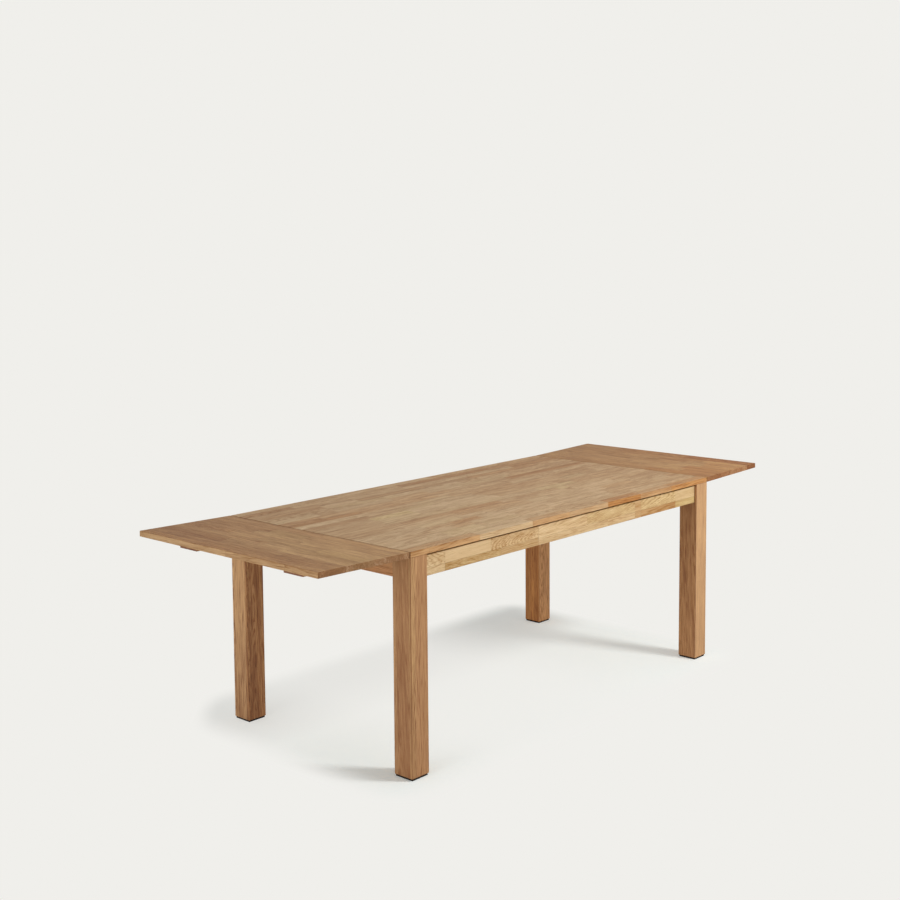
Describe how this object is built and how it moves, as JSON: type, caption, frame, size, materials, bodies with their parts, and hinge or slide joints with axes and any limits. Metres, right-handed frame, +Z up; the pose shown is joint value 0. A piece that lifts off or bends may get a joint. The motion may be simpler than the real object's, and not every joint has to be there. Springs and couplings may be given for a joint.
{
  "type": "extendable dining table",
  "caption": "Rectangular solid oak dining table with square legs, pull-out bearers and loose end leaves that plug into the ends of the fixed top.",
  "frame": {"origin": "on the floor, under the centre of the fixed top, at the middle of the feet", "axes": "+X along the table towards the right leaf, +Y towards the back long side, +Z up"},
  "size_m": [2.6016, 0.9, 0.769],
  "materials": {
    "oak_top": "edge-glued oak staves, oiled satin, greyish tan",
    "oak_leaf": "edge-glued oak staves, oiled satin, a little browner than the top",
    "oak_leg": "glued-up oak, oiled satin",
    "oak_apron": "edge-glued oak staves, oiled satin, yellowish",
    "oak_end_apron": "edge-glued oak staves, oiled satin, reddish",
    "oak_bearer": "planed oak, oiled satin",
    "inner_wood": "planed and unfinished",
    "dowel_beech": "turned beech, unfinished",
    "zinc_steel": "bright zinc plated",
    "black_pad": "matt black"
  },
  "bodies": {
    "frame": {"table_top": "oak_top", "leg_front_left": "oak_leg", "leg_front_right": "oak_leg", "leg_back_left": "oak_leg", "leg_back_right": "oak_leg", "foot_pad_front_left": "black_pad", "foot_pad_front_right": "black_pad", "foot_pad_back_left": "black_pad", "foot_pad_back_right": "black_pad", "foot_pad_screws": "zinc_steel", "front_apron": "oak_apron", "back_apron": "oak_apron", "left_end_apron": "oak_end_apron", "right_end_apron": "oak_end_apron", "apron_dowels": "dowel_beech", "left_cross_rail": "inner_wood", "middle_cross_rail": "inner_wood", "right_cross_rail": "inner_wood", "rail_dowels": "dowel_beech", "corner_block_front_left": "inner_wood", "corner_block_front_right": "inner_wood", "corner_block_back_left": "inner_wood", "corner_block_back_right": "inner_wood", "corner_block_screws": "zinc_steel", "hanger_bolts": "zinc_steel", "hanger_washers": "zinc_steel", "hanger_nuts": "zinc_steel", "top_brackets": "zinc_steel", "top_bracket_screws": "zinc_steel", "left_packers": "inner_wood", "right_packers": "inner_wood"},
    "left_leaf": {"left_leaf": "oak_leaf", "left_leaf_dowels": "dowel_beech", "left_leaf_battens": "inner_wood", "left_batten_screws": "zinc_steel"},
    "right_leaf": {"right_leaf": "oak_leaf", "right_leaf_dowels": "dowel_beech", "right_leaf_battens": "inner_wood", "right_batten_screws": "zinc_steel"},
    "bearer_left_front": {"bearer_left_front": "oak_bearer", "stop_left_front": "inner_wood", "stop_screws_left_front": "zinc_steel"},
    "bearer_left_back": {"bearer_left_back": "oak_bearer", "stop_left_back": "inner_wood", "stop_screws_left_back": "zinc_steel"},
    "bearer_right_front": {"bearer_right_front": "oak_bearer", "stop_right_front": "inner_wood", "stop_screws_right_front": "zinc_steel"},
    "bearer_right_back": {"bearer_right_back": "oak_bearer", "stop_right_back": "inner_wood", "stop_screws_right_back": "zinc_steel"}
  },
  "joints": [
    {"name": "left_leaf_pull_off", "type": "slide", "parent": "frame", "child": "left_leaf", "axis": [-0.9997, 0, 0.0225], "range_m": [0, 0.34]},
    {"name": "right_leaf_pull_off", "type": "slide", "parent": "frame", "child": "right_leaf", "axis": [0.9997, 0, 0.0225], "range_m": [0, 0.34]},
    {"name": "bearer_left_front_push_in", "type": "slide", "parent": "frame", "child": "bearer_left_front", "axis": [0.9997, 0, -0.0225], "range_m": [0, 0.336]},
    {"name": "bearer_left_back_push_in", "type": "slide", "parent": "frame", "child": "bearer_left_back", "axis": [0.9997, 0, -0.0225], "range_m": [0, 0.336]},
    {"name": "bearer_right_front_push_in", "type": "slide", "parent": "frame", "child": "bearer_right_front", "axis": [-0.9997, 0, -0.0225], "range_m": [0, 0.336]},
    {"name": "bearer_right_back_push_in", "type": "slide", "parent": "frame", "child": "bearer_right_back", "axis": [-0.9997, 0, -0.0225], "range_m": [0, 0.336]}
  ]
}
